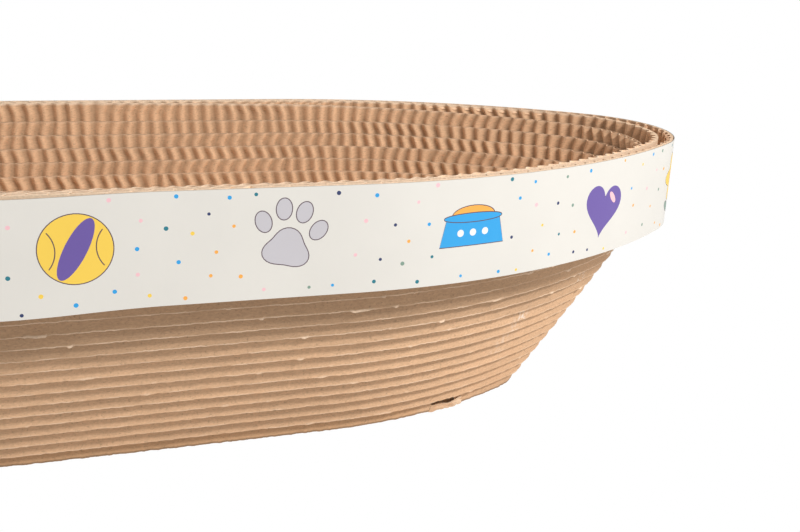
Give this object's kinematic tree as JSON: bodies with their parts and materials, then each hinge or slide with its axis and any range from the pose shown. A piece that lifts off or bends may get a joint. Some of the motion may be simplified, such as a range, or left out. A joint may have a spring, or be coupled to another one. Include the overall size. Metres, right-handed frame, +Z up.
{
  "type": "cat scratcher bowl",
  "caption": "Oval bowl-shaped cat scratcher wound from corrugated cardboard strips that step down to a flat floor, with a printed paper band round the rim.",
  "frame": {"origin": "middle of the footprint, on the surface that the bowl stands on", "axes": "+X along the long axis of the oval, +Y across it towards the back, +Z up"},
  "size_m": [0.5792, 0.2388, 0.1504],
  "materials": {
    "cardboard": "uncoated brown corrugated cardboard",
    "printed_paper": "satin off-white printed paper"
  },
  "bodies": {
    "root": {"printed_band": "printed_paper", "rim_strip_1": "cardboard", "rim_strip_2": "cardboard", "wall_strip_01": "cardboard", "wall_strip_02": "cardboard", "wall_strip_03": "cardboard", "wall_strip_04": "cardboard", "wall_strip_05": "cardboard", "wall_strip_06": "cardboard", "wall_strip_07": "cardboard", "wall_strip_08": "cardboard", "wall_strip_09": "cardboard", "wall_strip_10": "cardboard", "wall_strip_11": "cardboard", "wall_strip_12": "cardboard", "wall_strip_13": "cardboard", "wall_strip_14": "cardboard", "wall_strip_15": "cardboard", "floor_strip_01": "cardboard", "floor_strip_02": "cardboard", "floor_strip_03": "cardboard", "floor_strip_04": "cardboard", "floor_strip_05": "cardboard", "floor_strip_06": "cardboard", "floor_strip_07": "cardboard", "floor_strip_08": "cardboard", "floor_strip_09": "cardboard", "floor_strip_10": "cardboard", "floor_strip_11": "cardboard", "core_strip": "cardboard"}
  },
  "joints": []
}
